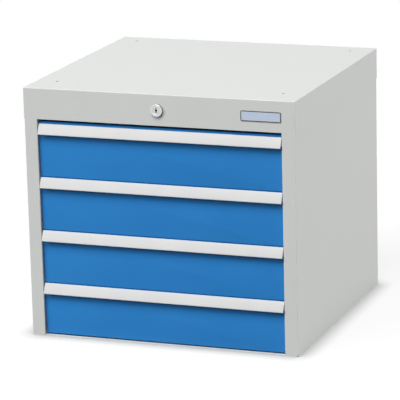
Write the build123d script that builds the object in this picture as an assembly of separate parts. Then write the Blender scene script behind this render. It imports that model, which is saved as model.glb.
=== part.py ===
from build123d import *
import os

# Underbench drawer unit: a folded sheet-steel case with four locking drawers on ball-bearing rails.
# Millimetres. X runs across the case, Y from its front to its back and Z upwards.
# The origin is on the floor, in the middle of the whole unit.

os.makedirs("parts", exist_ok=True)

# Cover: the folded top with its header, which lies over the case
WIDTH = 500.0              # over the cover's side skirts
DEPTH = 480.0              # from the header's front face to the back skirt
COVER_SHEET = 1.0
COVER_SKIRT = 55.5         # height of the folded sides, and of the header
COVER_LIP = 12.0           # depth of the fold under the header
COVER_BEND = 1.6           # outside radius of the cover's folds
BENCH_HOLE_RADIUS = 3.0
BENCH_HOLE_INSET = 40.0    # from the cover's side to a hole's centre
BENCH_HOLE_FRONT = 60.0    # from the header's front face to the front holes
BENCH_HOLE_BACK = 36.0     # from the back skirt to the rear holes

# Case under the cover
CASE_SHEET = 1.0
CASE_BEND = 1.2            # outside radius of the side panels' folds
STILE_WIDTH = 24.0         # front face of each side panel
STILE_RETURN = 15.0        # how far the stile's inner edge is folded back
STILE_CORNER = 3.0         # corner cut off the foot of each stile
REAR_FLANGE = 15.0         # side panel's fold behind the back panel
BASE_SHEET = 1.5
BASE_FLANGE = 12.0         # upturned edge of the bottom panel
FOLD_CLEARANCE = 0.1       # between sheets that pass each other without touching

# Drawer fronts and grips
DRAWER_COUNT = 4
FRONT_HEIGHT = 95.8
FRONT_GAP = 0.7            # between one front and the next
HIGHEST_RISE = 3.3         # how much taller the top front is, to narrow the slot under the header
LOWEST_CUT = 3.0           # how much shorter the lowest front is, to clear the base
BASE_GAP = 2.3             # under the lowest front
TOP_GAP = 5.1              # between the header and the top front
FRONT_RECESS = 5.0         # from the header's front face to the blue faces
FRONT_SIDE_GAP = 0.8
FRONT_SHEET = 1.0
FRONT_FLANGE = 15.0        # depth of each front's folded edges
FRONT_BEND = 1.2
GRIP_SIDE_GAP = 1.4
GRIP_PROUD = 3.5           # how far the grip's lip stands out in front of the header
GRIP_TOP_DROP = 0.3        # from a standard front's top edge down to the grip's top edge
GRIP_HEIGHT = 18.4
GRIP_LIP = 1.2             # height of the flat edge at the grip's foot
GRIP_WALL = 1.5
GRIP_LEG = 1.2             # thickness of the leg that lies on the front
GRIP_LEG_HEIGHT = 16.0

# Drawer trays
TRAY_SHEET = 1.0
TRAY_DROP = 16.0           # from a standard front's top edge down to the tray's rim
TRAY_RAISE = 7.8           # from a standard front's bottom edge up to the tray's floor
TRAY_RIM = 5.0             # inward fold along the tray's sides
TRAY_REAR = 30.0           # space behind the tray for the locking gear

# Ball-bearing rails, three members on each side of a drawer
RAIL_THICKNESS = 12.7      # from the upright to the tray
RAIL_HEIGHT = 45.0
RAIL_SHEET = 1.2
RAIL_FRONT = 27.0          # from the header's front face to the rails' front end
RAIL_REAR = 53.0           # from the rails' rear end to the back skirt
OUTER_FLANGE = 8.5         # depth of the fixed member
MIDDLE_OFFSET = 2.4        # from the upright to the middle member's web
MIDDLE_FLANGE = 7.8
INNER_FLANGE = 7.7         # depth of the drawer's member
BALL_RADIUS = 1.6
BALL_CLEARANCE = 0.3
BALL_COUNT = 8
CAGE_SHEET = 0.6
CAGE_THICKNESS = 1.0       # of the strip that holds the balls
CAGE_LENGTH = 160.0
CAGE_CLEARANCE = 0.3
OUTER_CAGE_DEPTH = 6.5
INNER_CAGE_DEPTH = 5.5

# Uprights that carry the rails
UPRIGHT_WIDTH = 30.0
UPRIGHT_SHEET = 1.5
UPRIGHT_FLANGE = 10.0
UPRIGHT_TOP_DROP = 40.0    # from the cover's top down to the uprights' top end
FRONT_UPRIGHT_INSET = 9.0  # from the rails' front end to the front upright
REAR_UPRIGHT_INSET = 17.0  # from the rear upright to the rails' rear end

# Studs and nuts, one size throughout
STUD_RADIUS = 2.0
STUD_CLEARANCE = 0.2
NUT_BORE_CLEARANCE = 0.05
NUT_FLATS = 7.0
NUT_THICKNESS = 3.2
STUD_PROUD = 0.6           # how far a stud stands out of its nut
FRONT_STUD_X = 150.0
FRONT_STUD_Z = 20.0        # from the tray's middle height to each row of front studs

# Back panel rivets
RIVET_RADIUS = 2.0
RIVET_CLEARANCE = 0.05
RIVET_HEAD_RADIUS = 3.6
RIVET_HEAD = 0.9
RIVET_ROWS = 4
RIVET_END_INSET = 40.0     # from the panel's top and bottom edges

# Lock in the header
RIM_RADIUS = 11.0
RIM_PROUD = 4.0            # how far the lock stands out of the header
RIM_BEVEL = 1.0
BARREL_RADIUS = 9.0
BARREL_LENGTH = 22.0
BARREL_CLEARANCE = 0.1
LOCK_NUT_FLATS = 24.0
LOCK_NUT_THICKNESS = 4.0
PLUG_RADIUS = 6.0
PLUG_INSET = 0.4           # plug's face behind the rim's face
PLUG_TAIL_RADIUS = 3.0
PLUG_TAIL = 10.0
RUNNING_CLEARANCE = 0.05
KEYWAY_WIDTH = 2.4
KEYWAY_HEIGHT = 8.4
KEYWAY_DEPTH = 14.0

# Shaft from the lock to the locking bar
SHAFT_RADIUS = 5.0
SHAFT_SHOULDER = 2.0       # from the barrel's end to the shaft's front end
CRANK_RADIUS = 10.0        # from the shaft's axis to the crank pin's
CRANK_ARM = 3.0
CRANK_ARM_WIDTH = 10.0
CRANK_PIN_RADIUS = 2.5
CRANK_SLOT_CLEARANCE = 0.6
CRANK_GAP = 2.0            # from the crank arm to the locking bar
BRACKET_SHEET = 2.0
BRACKET_WIDTH = 40.0
BRACKET_FOOT = 15.0
BRACKET_REAR = 40.0        # from the bracket's rear face to the back skirt
BRACKET_EDGE = 8.0         # metal left under the bearing hole

# Locking bar, its guides, its catches and the hooks on the drawers
BAR_WIDTH = 40.0
BAR_THICKNESS = 2.0
BAR_CLEARANCE = 0.5        # to the back panel and the guides
BAR_END = 8.0              # metal past the crank slot and past the lowest catch
GUIDE_SHEET = 1.5
GUIDE_FOOT = 12.0
GUIDE_HEIGHT = 20.0
GUIDE_RISE = 30.0          # from a drawer's hook up to the guide above it
HOOK_DROP = 40.0           # from a standard front's top edge down to its hook's arm
HOOK_THICKNESS = 3.0
HOOK_REACH = 16.0          # from the tray's back to the hook's end
HOOK_ARM = 6.0
HOOK_TOOTH = 8.0           # height of the tooth under the arm
HOOK_TOOTH_DEPTH = 5.0
HOOK_PLATE = 1.5
HOOK_PLATE_WIDTH = 20.0
HOOK_PLATE_EDGE = 6.0      # plate above the arm and below the tooth
CATCH_THICKNESS = 3.0
CATCH_WEB = 3.5            # metal in front of the catch's window
CATCH_PLAY = 1.5           # tooth to the catch's window, front to back
CATCH_SIDE_PLAY = 2.5
CATCH_UNDER_ARM = 1.5      # catch to the hook's arm when locked
LOCKING_LIFT = CRANK_RADIUS * 2 ** 0.5

# Nameplate
PLATE_WIDTH = 72.5
PLATE_HEIGHT = 18.3
PLATE_THICKNESS = 1.0
PLATE_RADIUS = 2.0
PLATE_EDGE = 25.2          # from the cover's right side to the plate
PLATE_DROP = 29.0          # from the cover's top to the plate's middle
PLATE_BORDER = 1.1         # raised border round the plate's field
PLATE_FIELD = 0.3          # depth of the field below the border

# Worked out from the sizes above
FRONT_PITCH = FRONT_HEIGHT + FRONT_GAP
STACK = DRAWER_COUNT * FRONT_HEIGHT + (DRAWER_COUNT - 1) * FRONT_GAP + HIGHEST_RISE - LOWEST_CUT
HEIGHT = BASE_SHEET + BASE_GAP + STACK + TOP_GAP + COVER_SKIRT
FRONT_Y = (RIM_PROUD - DEPTH) / 2
HEADER_FOOT = HEIGHT - COVER_SKIRT
COVER_UNDERSIDE = HEIGHT - COVER_SHEET
CASE_HALF = WIDTH / 2 - COVER_SHEET
WALL_FACE = CASE_HALF - CASE_SHEET
OPENING_HALF = CASE_HALF - STILE_WIDTH
FRONT_HALF = OPENING_HALF - FRONT_SIDE_GAP
TRAY_HALF = OPENING_HALF - RAIL_THICKNESS
CASE_BACK = DEPTH - COVER_SHEET
PANEL_BACK = CASE_BACK - CASE_SHEET
PANEL_FACE = PANEL_BACK - CASE_SHEET
RAIL_END = DEPTH - RAIL_REAR
RAIL_MIDDLE = (RAIL_FRONT + RAIL_END) / 2
FRONT_UPRIGHT = RAIL_FRONT + FRONT_UPRIGHT_INSET
REAR_UPRIGHT = RAIL_END - REAR_UPRIGHT_INSET - UPRIGHT_WIDTH
TRAY_BACK = DEPTH - TRAY_REAR
TRAY_FRONT = FRONT_RECESS + FRONT_SHEET
TRAY_HEIGHT = FRONT_HEIGHT - TRAY_DROP - TRAY_RAISE
LOCK_Z = HEIGHT - COVER_SKIRT / 2
BAR_BACK = PANEL_FACE - BAR_CLEARANCE
BAR_FRONT = BAR_BACK - BAR_THICKNESS
CRANK_PIN_END = BAR_BACK
CRANK_FRONT = BAR_FRONT - CRANK_GAP - CRANK_ARM
PIN_OFFSET = CRANK_RADIUS / 2 ** 0.5
HOOK_END = TRAY_BACK + HOOK_REACH
TOOTH_FRONT = HOOK_END - HOOK_TOOTH_DEPTH
BALL_GAP = 2 * (BALL_RADIUS + BALL_CLEARANCE)
SIDES = (-1, 1)
DRAWERS = range(1, DRAWER_COUNT + 1)


def front_top(number):
    """Height of a standard front's top edge, counted from the top drawer."""
    return HEADER_FOOT - TOP_GAP - HIGHEST_RISE - (number - 1) * FRONT_PITCH


def tray_floor(number):
    return front_top(number) - FRONT_HEIGHT + TRAY_RAISE


def rail_z(number):
    """Height of the rails' centre line, halfway up the tray."""
    return tray_floor(number) + TRAY_HEIGHT / 2


def hook_z(number):
    """Height of the underside of the hook's arm."""
    return front_top(number) - HOOK_DROP


def block(x0, x1, depth0, depth1, z0, z1):
    """Box between two X values, two depths behind the header's face and two heights."""
    middle = Pos((x0 + x1) / 2, FRONT_Y + (depth0 + depth1) / 2, (z0 + z1) / 2)
    return middle * Box(abs(x1 - x0), depth1 - depth0, z1 - z0)


def bar_along_y(x, z, radius, depth0, depth1):
    """Round bar that runs from front to back."""
    middle = Pos(x, FRONT_Y + (depth0 + depth1) / 2, z)
    return middle * Rot(90, 0, 0) * Cylinder(radius, depth1 - depth0)


def bar_along_x(x0, x1, depth, z, radius):
    """Round bar that runs from side to side."""
    middle = Pos((x0 + x1) / 2, FRONT_Y + depth, z)
    return middle * Rot(0, 90, 0) * Cylinder(radius, abs(x1 - x0))


def nut(flats, thickness, bore_radius):
    """Hexagonal nut standing on its lower face, with its axis on Z."""
    outline = extrude(RegularPolygon(flats / 2, 6, major_radius=False), thickness)
    return outline - Pos(0, 0, thickness / 2) * Cylinder(bore_radius, thickness)


def upright_edges(shape, x, depth):
    """The vertical edges of a shape that stand at one corner of its outline."""
    y = FRONT_Y + depth
    return [
        edge for edge in shape.edges().filter_by(Axis.Z)
        if abs(edge.center().X - x) < 0.01 and abs(edge.center().Y - y) < 0.01
    ]


def save(shape, name):
    export_step(shape, f"parts/{name}.step")


def group(shapes):
    return Compound(children=list(shapes))


# Cover
def bench_holes():
    """Centres of the four holes for bolting the unit under a bench."""
    x = WIDTH / 2 - BENCH_HOLE_INSET
    return [(side * x, depth) for side in SIDES for depth in (BENCH_HOLE_FRONT, DEPTH - BENCH_HOLE_BACK)]


def top_cover():
    shell = block(-WIDTH / 2, WIDTH / 2, 0, DEPTH, HEADER_FOOT, HEIGHT)
    top_edges = shell.faces().sort_by(Axis.Z)[-1].edges()
    shell = fillet(list(top_edges) + list(shell.edges().filter_by(Axis.Z)), COVER_BEND)
    shell -= block(-CASE_HALF, CASE_HALF, COVER_SHEET, CASE_BACK, HEADER_FOOT - 1, COVER_UNDERSIDE)
    lip_half = OPENING_HALF - FOLD_CLEARANCE
    shell += block(-lip_half, lip_half, 0, COVER_LIP, HEADER_FOOT, HEADER_FOOT + COVER_SHEET)
    shell -= bar_along_y(0, LOCK_Z, BARREL_RADIUS + BARREL_CLEARANCE, -1, COVER_SHEET + 1)
    for x, depth in bench_holes():
        shell -= Pos(x, FRONT_Y + depth, HEIGHT) * Cylinder(BENCH_HOLE_RADIUS, 4 * COVER_SHEET)
    return shell


# Case
def side_panel(side):
    """Wall with a front stile that ends under the header, the stile's return and a rear flange."""
    outer = side * CASE_HALF
    inner = side * OPENING_HALF
    rear = side * (CASE_HALF - REAR_FLANGE)
    top = COVER_UNDERSIDE
    panel = block(outer, side * WALL_FACE, 0, CASE_BACK, 0, top)
    panel += block(outer, inner, 0, CASE_SHEET, 0, HEADER_FOOT)
    panel += block(inner, side * (OPENING_HALF + CASE_SHEET), 0, STILE_RETURN, 0, HEADER_FOOT)
    panel += block(outer, rear, PANEL_BACK, CASE_BACK, 0, top)
    folds = upright_edges(panel, outer, 0) + upright_edges(panel, outer, CASE_BACK)
    folds += upright_edges(panel, inner, 0)
    panel = fillet(folds, CASE_BEND)
    panel -= block(outer, side * WALL_FACE, -1, COVER_SHEET, HEADER_FOOT, top + 1)
    corner = Polyline((outer, 0), (outer - side * STILE_CORNER, 0), (outer, STILE_CORNER), close=True)
    wedge = extrude(Plane.XZ * make_face(corner), CASE_SHEET, both=True)
    panel -= Pos(0, FRONT_Y, 0) * wedge
    for z in rivet_heights():
        x = side * (CASE_HALF - REAR_FLANGE / 2)
        panel -= bar_along_y(x, z, RIVET_RADIUS + RIVET_CLEARANCE, PANEL_BACK - 1, CASE_BACK + 1)
    return panel


def rivet_heights():
    low = BASE_SHEET + RIVET_END_INSET
    step = (COVER_UNDERSIDE - RIVET_END_INSET - COVER_SKIRT - low) / (RIVET_ROWS - 1)
    return [low + row * step for row in range(RIVET_ROWS)]


def back_panel():
    half = WALL_FACE - FOLD_CLEARANCE
    panel = block(-half, half, PANEL_FACE, PANEL_BACK, BASE_SHEET, COVER_UNDERSIDE)
    for side in SIDES:
        for z in rivet_heights():
            x = side * (CASE_HALF - REAR_FLANGE / 2)
            panel -= bar_along_y(x, z, RIVET_RADIUS + RIVET_CLEARANCE, PANEL_FACE - 1, PANEL_BACK + 1)
    return panel


def back_rivets():
    """Rivets through the back panel and the side panels' rear flanges."""
    rivets = []
    for side in SIDES:
        for z in rivet_heights():
            x = side * (CASE_HALF - REAR_FLANGE / 2)
            shank = bar_along_y(x, z, RIVET_RADIUS, PANEL_FACE, CASE_BACK)
            rivets.append(shank + bar_along_y(x, z, RIVET_HEAD_RADIUS, CASE_BACK, CASE_BACK + RIVET_HEAD))
    return group(rivets)


def bottom_panel():
    """Floor of the case, with its sides and its back turned up and a slot for each stile's return."""
    half = WALL_FACE
    front = STILE_RETURN + FOLD_CLEARANCE
    tongue = OPENING_HALF - FOLD_CLEARANCE
    panel = block(-half, half, front, PANEL_FACE, 0, BASE_SHEET)
    panel += block(-tongue, tongue, 0, front, 0, BASE_SHEET)
    panel += block(-half, half, PANEL_FACE - BASE_SHEET, PANEL_FACE, 0, BASE_SHEET + BASE_FLANGE)
    for side in SIDES:
        panel += block(side * half, side * (half - BASE_SHEET), front, PANEL_FACE, 0, BASE_SHEET + BASE_FLANGE)
        slot = side * (OPENING_HALF + CASE_SHEET + FOLD_CLEARANCE)
        panel += block(side * half, slot, CASE_SHEET, front, 0, BASE_SHEET)
    return panel


def upright(side, depth):
    """Top-hat section that stands on the side wall and carries the fixed rails."""
    face = OPENING_HALF
    far = depth + UPRIGHT_WIDTH
    z0 = BASE_SHEET + BASE_FLANGE + FOLD_CLEARANCE
    z1 = HEIGHT - UPRIGHT_TOP_DROP
    hat = block(side * face, side * (face + UPRIGHT_SHEET), depth, far, z0, z1)
    for leg in (depth, far - UPRIGHT_SHEET):
        hat += block(side * face, side * WALL_FACE, leg, leg + UPRIGHT_SHEET, z0, z1)
    for start, end in ((depth - UPRIGHT_FLANGE, depth), (far, far + UPRIGHT_FLANGE)):
        hat += block(side * (WALL_FACE - UPRIGHT_SHEET), side * WALL_FACE, start, end, z0, z1)
    for number in DRAWERS:
        middle = depth + UPRIGHT_WIDTH / 2
        hat -= bar_along_x(side * (face - 1), side * (face + UPRIGHT_SHEET + 1), middle,
                           rail_z(number), STUD_RADIUS + STUD_CLEARANCE)
    return hat


def rail_nuts():
    """Nuts inside the uprights that hold the fixed rails."""
    nuts = []
    for side in SIDES:
        for number in DRAWERS:
            for depth in (FRONT_UPRIGHT, REAR_UPRIGHT):
                x = side * (OPENING_HALF + UPRIGHT_SHEET)
                place = Pos(x, FRONT_Y + depth + UPRIGHT_WIDTH / 2, rail_z(number)) * Rot(0, side * 90, 0)
                nuts.append(place * nut(NUT_FLATS, NUT_THICKNESS, STUD_RADIUS + NUT_BORE_CLEARANCE))
    return group(nuts)


def nameplate():
    """Bare plate with a raised border, stuck to the header."""
    right = WIDTH / 2 - PLATE_EDGE
    middle = Pos(right - PLATE_WIDTH / 2, FRONT_Y, HEIGHT - PLATE_DROP)
    outline = RectangleRounded(PLATE_WIDTH, PLATE_HEIGHT, PLATE_RADIUS)
    field = RectangleRounded(PLATE_WIDTH - 2 * PLATE_BORDER, PLATE_HEIGHT - 2 * PLATE_BORDER,
                             PLATE_RADIUS - PLATE_BORDER)
    plate = extrude(outline, PLATE_THICKNESS)
    plate -= Pos(0, 0, PLATE_THICKNESS - PLATE_FIELD) * extrude(field, PLATE_THICKNESS)
    return middle * Rot(90, 0, 0) * plate


# Rails
def rail_block(side, u0, u1, z0, z1, depth0, depth1):
    """Box placed by its distances from the upright's face towards the drawer."""
    return block(side * (OPENING_HALF - u0), side * (OPENING_HALF - u1), depth0, depth1, z0, z1)


def channel(side, web0, web1, flange0, flange1, half_height, z, depth0, depth1, thickness):
    """Rail section: an upright web with a flange along its top and one along its bottom."""
    shape = rail_block(side, web0, web1, z - half_height, z + half_height, depth0, depth1)
    for sign in (-1, 1):
        low, high = sorted((z + sign * half_height, z + sign * (half_height - thickness)))
        shape += rail_block(side, flange0, flange1, low, high, depth0, depth1)
    return shape


OUTER_HALF = RAIL_HEIGHT / 2
MIDDLE_HALF = OUTER_HALF - RAIL_SHEET - BALL_GAP
INNER_HALF = MIDDLE_HALF - RAIL_SHEET - BALL_GAP


def fixed_rail(side, number):
    """Member fixed to the uprights, with two studs pressed into its web."""
    z = rail_z(number)
    rail = channel(side, 0, RAIL_SHEET, 0, OUTER_FLANGE, OUTER_HALF, z, RAIL_FRONT, RAIL_END, RAIL_SHEET)
    for depth in (FRONT_UPRIGHT, REAR_UPRIGHT):
        tip = OPENING_HALF + UPRIGHT_SHEET + NUT_THICKNESS + STUD_PROUD
        rail += bar_along_x(side * (OPENING_HALF - RAIL_SHEET), side * tip,
                            depth + UPRIGHT_WIDTH / 2, z, STUD_RADIUS)
    return rail


def middle_rail(side, number):
    web = MIDDLE_OFFSET + RAIL_SHEET
    reach = MIDDLE_OFFSET + MIDDLE_FLANGE
    return channel(side, MIDDLE_OFFSET, web, MIDDLE_OFFSET, reach, MIDDLE_HALF, rail_z(number),
                   RAIL_FRONT, RAIL_END, RAIL_SHEET)


def drawer_rail(side, number):
    """Member fixed to the tray, with two studs pressed into its web."""
    z = rail_z(number)
    web = RAIL_THICKNESS - RAIL_SHEET
    rail = channel(side, web, RAIL_THICKNESS, RAIL_THICKNESS - INNER_FLANGE, RAIL_THICKNESS, INNER_HALF, z,
                   RAIL_FRONT, RAIL_END, RAIL_SHEET)
    for depth in (FRONT_UPRIGHT, REAR_UPRIGHT):
        tip = TRAY_HALF - TRAY_SHEET - NUT_THICKNESS - STUD_PROUD
        rail += bar_along_x(side * (OPENING_HALF - web), side * tip, depth + UPRIGHT_WIDTH / 2, z, STUD_RADIUS)
    return rail


def ball_cage(side, number, web0, half_height, reach):
    """Strip bent round a rail member, with a row of balls along its top and its bottom."""
    z = rail_z(number)
    depth0 = RAIL_MIDDLE - CAGE_LENGTH / 2
    depth1 = RAIL_MIDDLE + CAGE_LENGTH / 2
    cage = channel(side, web0, web0 + CAGE_SHEET, web0, web0 + reach, half_height + CAGE_THICKNESS / 2, z,
                   depth0, depth1, CAGE_THICKNESS)
    pitch = CAGE_LENGTH / BALL_COUNT
    x = side * (OPENING_HALF - web0 - reach + BALL_RADIUS)
    for index in range(BALL_COUNT):
        y = FRONT_Y + depth0 + (index + 0.5) * pitch
        for sign in (-1, 1):
            cage += Pos(x, y, z + sign * half_height) * Sphere(BALL_RADIUS)
    return cage


def outer_cage(side, number):
    """Balls between the fixed member and the middle member."""
    return ball_cage(side, number, RAIL_SHEET + CAGE_CLEARANCE, MIDDLE_HALF + BALL_GAP / 2, OUTER_CAGE_DEPTH)


def inner_cage(side, number):
    """Balls between the middle member and the drawer's member."""
    web = MIDDLE_OFFSET + RAIL_SHEET + CAGE_CLEARANCE
    return ball_cage(side, number, web, INNER_HALF + BALL_GAP / 2, INNER_CAGE_DEPTH)


# Drawers
def front_studs(number):
    """Places of the studs that hold a front to its tray."""
    z = rail_z(number)
    return [(side * FRONT_STUD_X, z + sign * FRONT_STUD_Z) for side in SIDES for sign in (-1, 1)]


def drawer_tray(number):
    """Open tray folded from one sheet, with the rims of its sides turned in."""
    z0 = tray_floor(number)
    z1 = z0 + TRAY_HEIGHT
    inner = TRAY_HALF - TRAY_SHEET
    tray = block(-TRAY_HALF, TRAY_HALF, TRAY_FRONT, TRAY_BACK, z0, z1)
    tray -= block(-inner, inner, TRAY_FRONT + TRAY_SHEET, TRAY_BACK - TRAY_SHEET, z0 + TRAY_SHEET, z1 + 1)
    for side in SIDES:
        tray += block(side * TRAY_HALF, side * (TRAY_HALF - TRAY_RIM), TRAY_FRONT, TRAY_BACK, z1 - TRAY_SHEET, z1)
    hole = STUD_RADIUS + STUD_CLEARANCE
    for x, z in front_studs(number):
        tray -= bar_along_y(x, z, hole, TRAY_FRONT - 1, TRAY_FRONT + TRAY_SHEET + 1)
    for side in SIDES:
        for depth in (FRONT_UPRIGHT, REAR_UPRIGHT):
            tray -= bar_along_x(side * (inner - 1), side * (TRAY_HALF + 1), depth + UPRIGHT_WIDTH / 2,
                                rail_z(number), hole)
    return tray


def drawer_front(number):
    """Folded pan, open at the back, with four studs welded inside its face. The top one is taller than
    a standard front, and the lowest one is shorter."""
    z1 = front_top(number)
    z0 = z1 - FRONT_HEIGHT
    if number == 1:
        z1 += HIGHEST_RISE
    if number == DRAWER_COUNT:
        z0 += LOWEST_CUT
    back = FRONT_RECESS + FRONT_FLANGE
    pan = block(-FRONT_HALF, FRONT_HALF, FRONT_RECESS, back, z0, z1)
    pan = fillet(pan.faces().sort_by(Axis.Y)[0].edges(), FRONT_BEND)
    inner = FRONT_HALF - FRONT_SHEET
    pan -= block(-inner, inner, TRAY_FRONT, back + 1, z0 + FRONT_SHEET, z1 - FRONT_SHEET)
    for x, z in front_studs(number):
        pan += bar_along_y(x, z, STUD_RADIUS, TRAY_FRONT, TRAY_FRONT + TRAY_SHEET + NUT_THICKNESS + STUD_PROUD)
    return pan


def drawer_nuts(number):
    """Nuts inside the tray, on the front's studs and on the rails' studs."""
    blank = nut(NUT_FLATS, NUT_THICKNESS, STUD_RADIUS + NUT_BORE_CLEARANCE)
    nuts = []
    for x, z in front_studs(number):
        nuts.append(Pos(x, FRONT_Y + TRAY_FRONT + TRAY_SHEET, z) * Rot(-90, 0, 0) * blank)
    for side in SIDES:
        for depth in (FRONT_UPRIGHT, REAR_UPRIGHT):
            place = Pos(side * (TRAY_HALF - TRAY_SHEET), FRONT_Y + depth + UPRIGHT_WIDTH / 2, rail_z(number))
            nuts.append(place * Rot(0, -side * 90, 0) * blank)
    return group(nuts)


def grip_strip(number):
    """Extruded strip: a leg on the front's face and a face that slopes out to a lip for the fingers."""
    top = front_top(number) - GRIP_TOP_DROP
    foot = top - GRIP_HEIGHT
    leg_face = FRONT_RECESS - GRIP_LEG
    lip_top = foot + GRIP_LIP
    slope = (leg_face + GRIP_PROUD) / (top - lip_top)
    inner_foot = GRIP_WALL * (1 + slope ** 2) ** 0.5 - GRIP_PROUD
    joint = lip_top + (leg_face - inner_foot) / slope
    outline = [
        (FRONT_RECESS, top),
        (leg_face, top),
        (-GRIP_PROUD, lip_top),
        (-GRIP_PROUD, foot),
        (inner_foot, foot),
        (inner_foot, lip_top),
        (leg_face, joint),
        (leg_face, top - GRIP_LEG_HEIGHT),
        (FRONT_RECESS, top - GRIP_LEG_HEIGHT),
    ]
    profile = make_face(Polyline([(FRONT_Y + depth, z) for depth, z in outline], close=True))
    half = OPENING_HALF - GRIP_SIDE_GAP
    return extrude(Plane.YZ * profile, half, both=True)


def lock_hook(number):
    """Welded plate on the tray's back, with a hook that the locking bar's catch blocks."""
    z = hook_z(number)
    half = HOOK_THICKNESS / 2
    face = TRAY_BACK + HOOK_PLATE
    low = z - HOOK_TOOTH - HOOK_PLATE_EDGE
    high = z + HOOK_ARM + HOOK_PLATE_EDGE
    hook = block(-HOOK_PLATE_WIDTH / 2, HOOK_PLATE_WIDTH / 2, TRAY_BACK, face, low, high)
    hook += block(-half, half, face, HOOK_END, z, z + HOOK_ARM)
    hook += block(-half, half, TOOTH_FRONT, HOOK_END, z - HOOK_TOOTH, z + HOOK_ARM)
    return hook


# Lock
def lock_housing():
    """Bevelled rim and a barrel that passes through the header, bored for the plug."""
    housing = bar_along_y(0, LOCK_Z, RIM_RADIUS, -RIM_PROUD, 0)
    rim_edge = housing.edges().group_by(Axis.Y)[0]
    housing = chamfer(rim_edge, RIM_BEVEL)
    housing += bar_along_y(0, LOCK_Z, BARREL_RADIUS, 0, BARREL_LENGTH)
    return housing - bar_along_y(0, LOCK_Z, PLUG_RADIUS + RUNNING_CLEARANCE, -RIM_PROUD - 1, BARREL_LENGTH + 1)


def lock_nut():
    bore = BARREL_RADIUS + RUNNING_CLEARANCE
    return Pos(0, FRONT_Y + COVER_SHEET, LOCK_Z) * Rot(-90, 0, 0) * nut(LOCK_NUT_FLATS, LOCK_NUT_THICKNESS, bore)


def lock_plug():
    """Plug with an upright keyway and a tail for the shaft."""
    face = PLUG_INSET - RIM_PROUD
    shoulder = BARREL_LENGTH + SHAFT_SHOULDER
    plug = bar_along_y(0, LOCK_Z, PLUG_RADIUS, face, shoulder)
    plug += bar_along_y(0, LOCK_Z, PLUG_TAIL_RADIUS, shoulder, shoulder + PLUG_TAIL)
    half = KEYWAY_WIDTH / 2
    return plug - block(-half, half, face - 1, face + KEYWAY_DEPTH,
                        LOCK_Z - KEYWAY_HEIGHT / 2, LOCK_Z + KEYWAY_HEIGHT / 2)


def lock_shaft():
    """Shaft from the plug to the back, with a crank arm and its pin."""
    start = BARREL_LENGTH + SHAFT_SHOULDER
    shaft = bar_along_y(0, LOCK_Z, SHAFT_RADIUS, start, CRANK_FRONT)
    shaft -= bar_along_y(0, LOCK_Z, PLUG_TAIL_RADIUS + RUNNING_CLEARANCE, start - 1, start + PLUG_TAIL)
    x = -PIN_OFFSET
    z = LOCK_Z - PIN_OFFSET
    half = CRANK_ARM_WIDTH / 2
    for end_x, end_z in ((0, LOCK_Z), (x, z)):
        shaft += bar_along_y(end_x, end_z, half, CRANK_FRONT, CRANK_FRONT + CRANK_ARM)
    web = Box(CRANK_RADIUS, CRANK_ARM, CRANK_ARM_WIDTH)
    shaft += Pos(x / 2, FRONT_Y + CRANK_FRONT + CRANK_ARM / 2, LOCK_Z - PIN_OFFSET / 2) * Rot(0, -45, 0) * web
    return shaft + bar_along_y(x, z, CRANK_PIN_RADIUS, CRANK_FRONT + CRANK_ARM, CRANK_PIN_END)


def shaft_bracket():
    """Angle under the cover that carries the shaft's rear end."""
    back = DEPTH - BRACKET_REAR
    half = BRACKET_WIDTH / 2
    foot = LOCK_Z - SHAFT_RADIUS - BRACKET_EDGE
    bracket = block(-half, half, back - BRACKET_SHEET, back, foot, COVER_UNDERSIDE)
    bracket += block(-half, half, back - BRACKET_FOOT, back, COVER_UNDERSIDE - BRACKET_SHEET, COVER_UNDERSIDE)
    return bracket - bar_along_y(0, LOCK_Z, SHAFT_RADIUS + RUNNING_CLEARANCE, back - BRACKET_SHEET - 1, back + 1)


def catch_top(number):
    """Top of a catch with the lock open; locking lifts it to just under the hook's arm."""
    return hook_z(number) - CATCH_UNDER_ARM - LOCKING_LIFT


def locking_bar():
    """Flat bar that slides up and down on the back panel, with a slot for the crank pin."""
    half = BAR_WIDTH / 2
    slot_half = CRANK_PIN_RADIUS + CRANK_SLOT_CLEARANCE
    slot_z = LOCK_Z - PIN_OFFSET
    low = catch_top(DRAWER_COUNT) - CATCH_THICKNESS - BAR_END
    bar = block(-half, half, BAR_FRONT, BAR_BACK, low, slot_z + slot_half + BAR_END)
    return bar - block(-CRANK_RADIUS - slot_half, slot_half - PIN_OFFSET, BAR_FRONT - 1, BAR_BACK + 1,
                       slot_z - slot_half, slot_z + slot_half)


def catch_plates():
    """Plates welded to the locking bar, each with a window for a hook's tooth."""
    half = BAR_WIDTH / 2
    window = HOOK_THICKNESS / 2 + CATCH_SIDE_PLAY
    front = TOOTH_FRONT - CATCH_PLAY
    plates = []
    for number in DRAWERS:
        high = catch_top(number)
        low = high - CATCH_THICKNESS
        plate = block(-half, half, front - CATCH_WEB, BAR_FRONT, low, high)
        plate -= block(-window, window, front, HOOK_END + CATCH_PLAY, low - 1, high + 1)
        plates.append(plate)
    return group(plates)


def bar_guides():
    """Two straps on the back panel that keep the locking bar straight."""
    inner = BAR_WIDTH / 2 + BAR_CLEARANCE
    outer = inner + GUIDE_SHEET
    bridge = BAR_FRONT - BAR_CLEARANCE
    straps = []
    for number in (1, DRAWER_COUNT):
        z0 = hook_z(number) + GUIDE_RISE
        z1 = z0 + GUIDE_HEIGHT
        strap = block(-outer, outer, bridge - GUIDE_SHEET, bridge, z0, z1)
        for side in SIDES:
            strap += block(side * inner, side * outer, bridge - GUIDE_SHEET, PANEL_FACE, z0, z1)
            strap += block(side * inner, side * (outer + GUIDE_FOOT), PANEL_FACE - GUIDE_SHEET, PANEL_FACE, z0, z1)
        straps.append(strap)
    return group(straps)


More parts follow.
